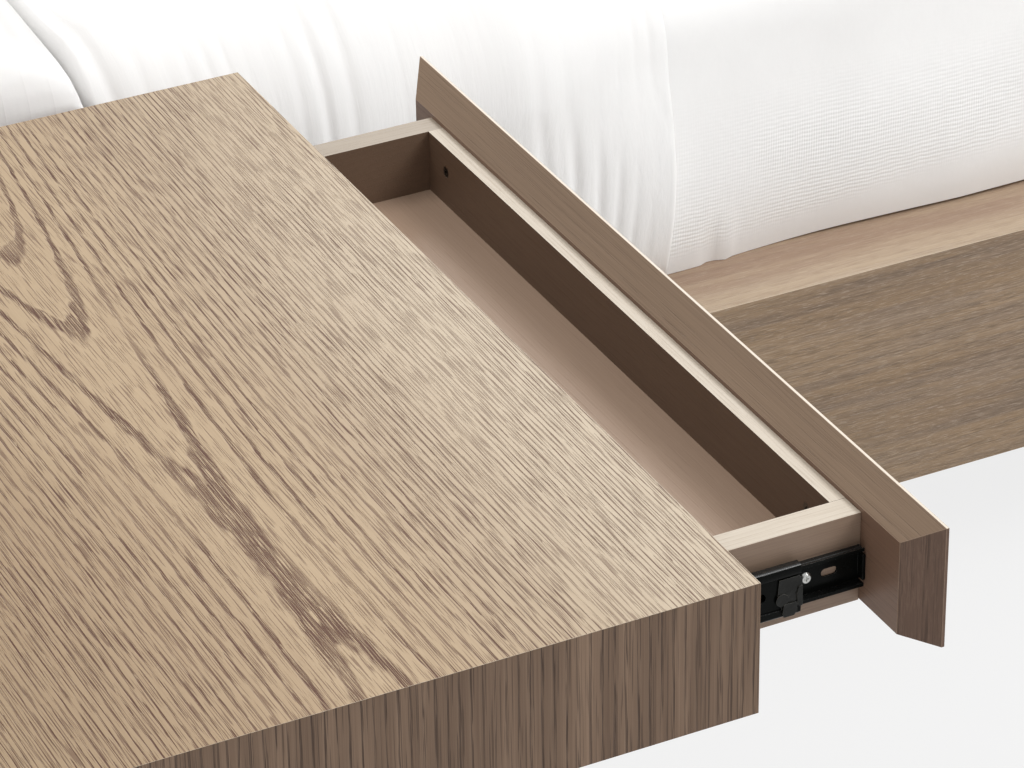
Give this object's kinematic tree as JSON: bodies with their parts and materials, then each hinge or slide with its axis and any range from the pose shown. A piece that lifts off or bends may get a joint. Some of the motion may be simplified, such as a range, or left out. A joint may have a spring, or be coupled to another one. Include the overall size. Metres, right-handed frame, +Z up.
{
  "type": "bed with attached nightstands",
  "caption": "Platform bed with ledge-like rails and a wide headboard whose wings carry floating nightstands with bevel-fronted drawers on ball-bearing slides; made up with bedding.",
  "frame": {"origin": "on the floor, at the middle of the bed with its two nightstands and midway between the foot rail's outer face and the back of the headboard's uprights", "axes": "+X across the bed, to the right of someone who stands at the foot and looks at the headboard; +Y towards the headboard; +Z up. The drawers open towards -Y"},
  "size_m": [3.19, 2.206, 1],
  "materials": {
    "top_oak": "satin oak veneer, sandy beige, with brown pores and cathedral grain",
    "side_oak": "satin oak veneer, brown, with straight grain",
    "frame_oak": "satin oak veneer, grey-brown, straight weathered grain",
    "box_oak": "satin oak, brown, top edges paler",
    "floor_veneer": "satin veneer, warm brown",
    "pale_wood": "plain light wood",
    "dark_wood": "satin brown wood",
    "slide_steel": "black, semi-gloss",
    "bracket_steel": "dark grey, matt",
    "zinc": "zinc-plated",
    "stop_plastic": "greyish, slightly translucent",
    "glide_plastic": "black, matt",
    "mattress_fabric": "off-white ticking",
    "blanket_fabric": "white cotton with fine ribs",
    "duvet_fabric": "white crinkled cotton",
    "pillow_fabric": "off-white cotton with narrow seams"
  },
  "bodies": {
    "bed": {"headboard_centre_panel": "frame_oak", "headboard_left_wing": "frame_oak", "headboard_right_wing": "frame_oak", "headboard_uprights": "dark_wood", "left_side_rail": "frame_oak", "right_side_rail": "frame_oak", "foot_rail": "frame_oak", "slat_ledgers": "pale_wood", "centre_beam": "pale_wood", "slats": "pale_wood", "foot_legs": "dark_wood", "centre_legs": "dark_wood", "floor_glides": "glide_plastic", "corner_brackets": "bracket_steel", "frame_bolts": "zinc", "nightstand_brackets": "bracket_steel", "slide_screws": "zinc", "mattress": "mattress_fabric", "waffle_blanket": "blanket_fabric", "folded_duvet": "duvet_fabric", "left_pillow": "pillow_fabric", "right_pillow": "pillow_fabric", "left_case_top": "top_oak", "left_case_bottom": "side_oak", "left_case_outer_end": "side_oak", "left_case_bed_end": "side_oak", "left_case_back": "pale_wood", "left_slide_packers": "pale_wood", "left_case_slides": "slide_steel", "right_case_top": "top_oak", "right_case_bottom": "side_oak", "right_case_outer_end": "side_oak", "right_case_bed_end": "side_oak", "right_case_back": "pale_wood", "right_slide_packers": "pale_wood", "right_case_slides": "slide_steel"},
    "left_drawer": {"left_drawer_front": "side_oak", "left_box_front": "box_oak", "left_box_outer_side": "box_oak", "left_box_bed_side": "box_oak", "left_box_back": "box_oak", "left_drawer_floor": "floor_veneer", "left_drawer_slides": "slide_steel", "left_drawer_screws": "zinc"},
    "left_outer_slide": {"left_outer_middle_slide": "slide_steel", "left_outer_slide_stop": "stop_plastic"},
    "left_bed_slide": {"left_bed_middle_slide": "slide_steel", "left_bed_slide_stop": "stop_plastic"},
    "right_drawer": {"right_drawer_front": "side_oak", "right_box_front": "box_oak", "right_box_outer_side": "box_oak", "right_box_bed_side": "box_oak", "right_box_back": "box_oak", "right_drawer_floor": "floor_veneer", "right_drawer_slides": "slide_steel", "right_drawer_screws": "zinc"},
    "right_outer_slide": {"right_outer_middle_slide": "slide_steel", "right_outer_slide_stop": "stop_plastic"},
    "right_bed_slide": {"right_bed_middle_slide": "slide_steel", "right_bed_slide_stop": "stop_plastic"}
  },
  "joints": [
    {"name": "left_drawer_slide", "type": "slide", "parent": "bed", "child": "left_drawer", "axis": [0, -1, 0], "range_m": [-0.127, 0.263]},
    {"name": "left_outer_member_slide", "type": "slide", "parent": "bed", "child": "left_outer_slide", "axis": [0, -1, 0], "range_m": [-0.0821, 0.17]},
    {"name": "left_bed_member_slide", "type": "slide", "parent": "bed", "child": "left_bed_slide", "axis": [0, -1, 0], "range_m": [-0.0821, 0.17]},
    {"name": "right_drawer_slide", "type": "slide", "parent": "bed", "child": "right_drawer", "axis": [0, -1, 0], "range_m": [0, 0.39]},
    {"name": "right_outer_member_slide", "type": "slide", "parent": "bed", "child": "right_outer_slide", "axis": [0, -1, 0], "range_m": [0, 0.252]},
    {"name": "right_bed_member_slide", "type": "slide", "parent": "bed", "child": "right_bed_slide", "axis": [0, -1, 0], "range_m": [0, 0.252]}
  ],
  "couplings": [
    {"joint": "left_outer_member_slide", "follows": "left_drawer_slide", "ratio": 0.6457},
    {"joint": "left_bed_member_slide", "follows": "left_drawer_slide", "ratio": 0.6457},
    {"joint": "right_outer_member_slide", "follows": "right_drawer_slide", "ratio": 0.6457},
    {"joint": "right_bed_member_slide", "follows": "right_drawer_slide", "ratio": 0.6457}
  ]
}
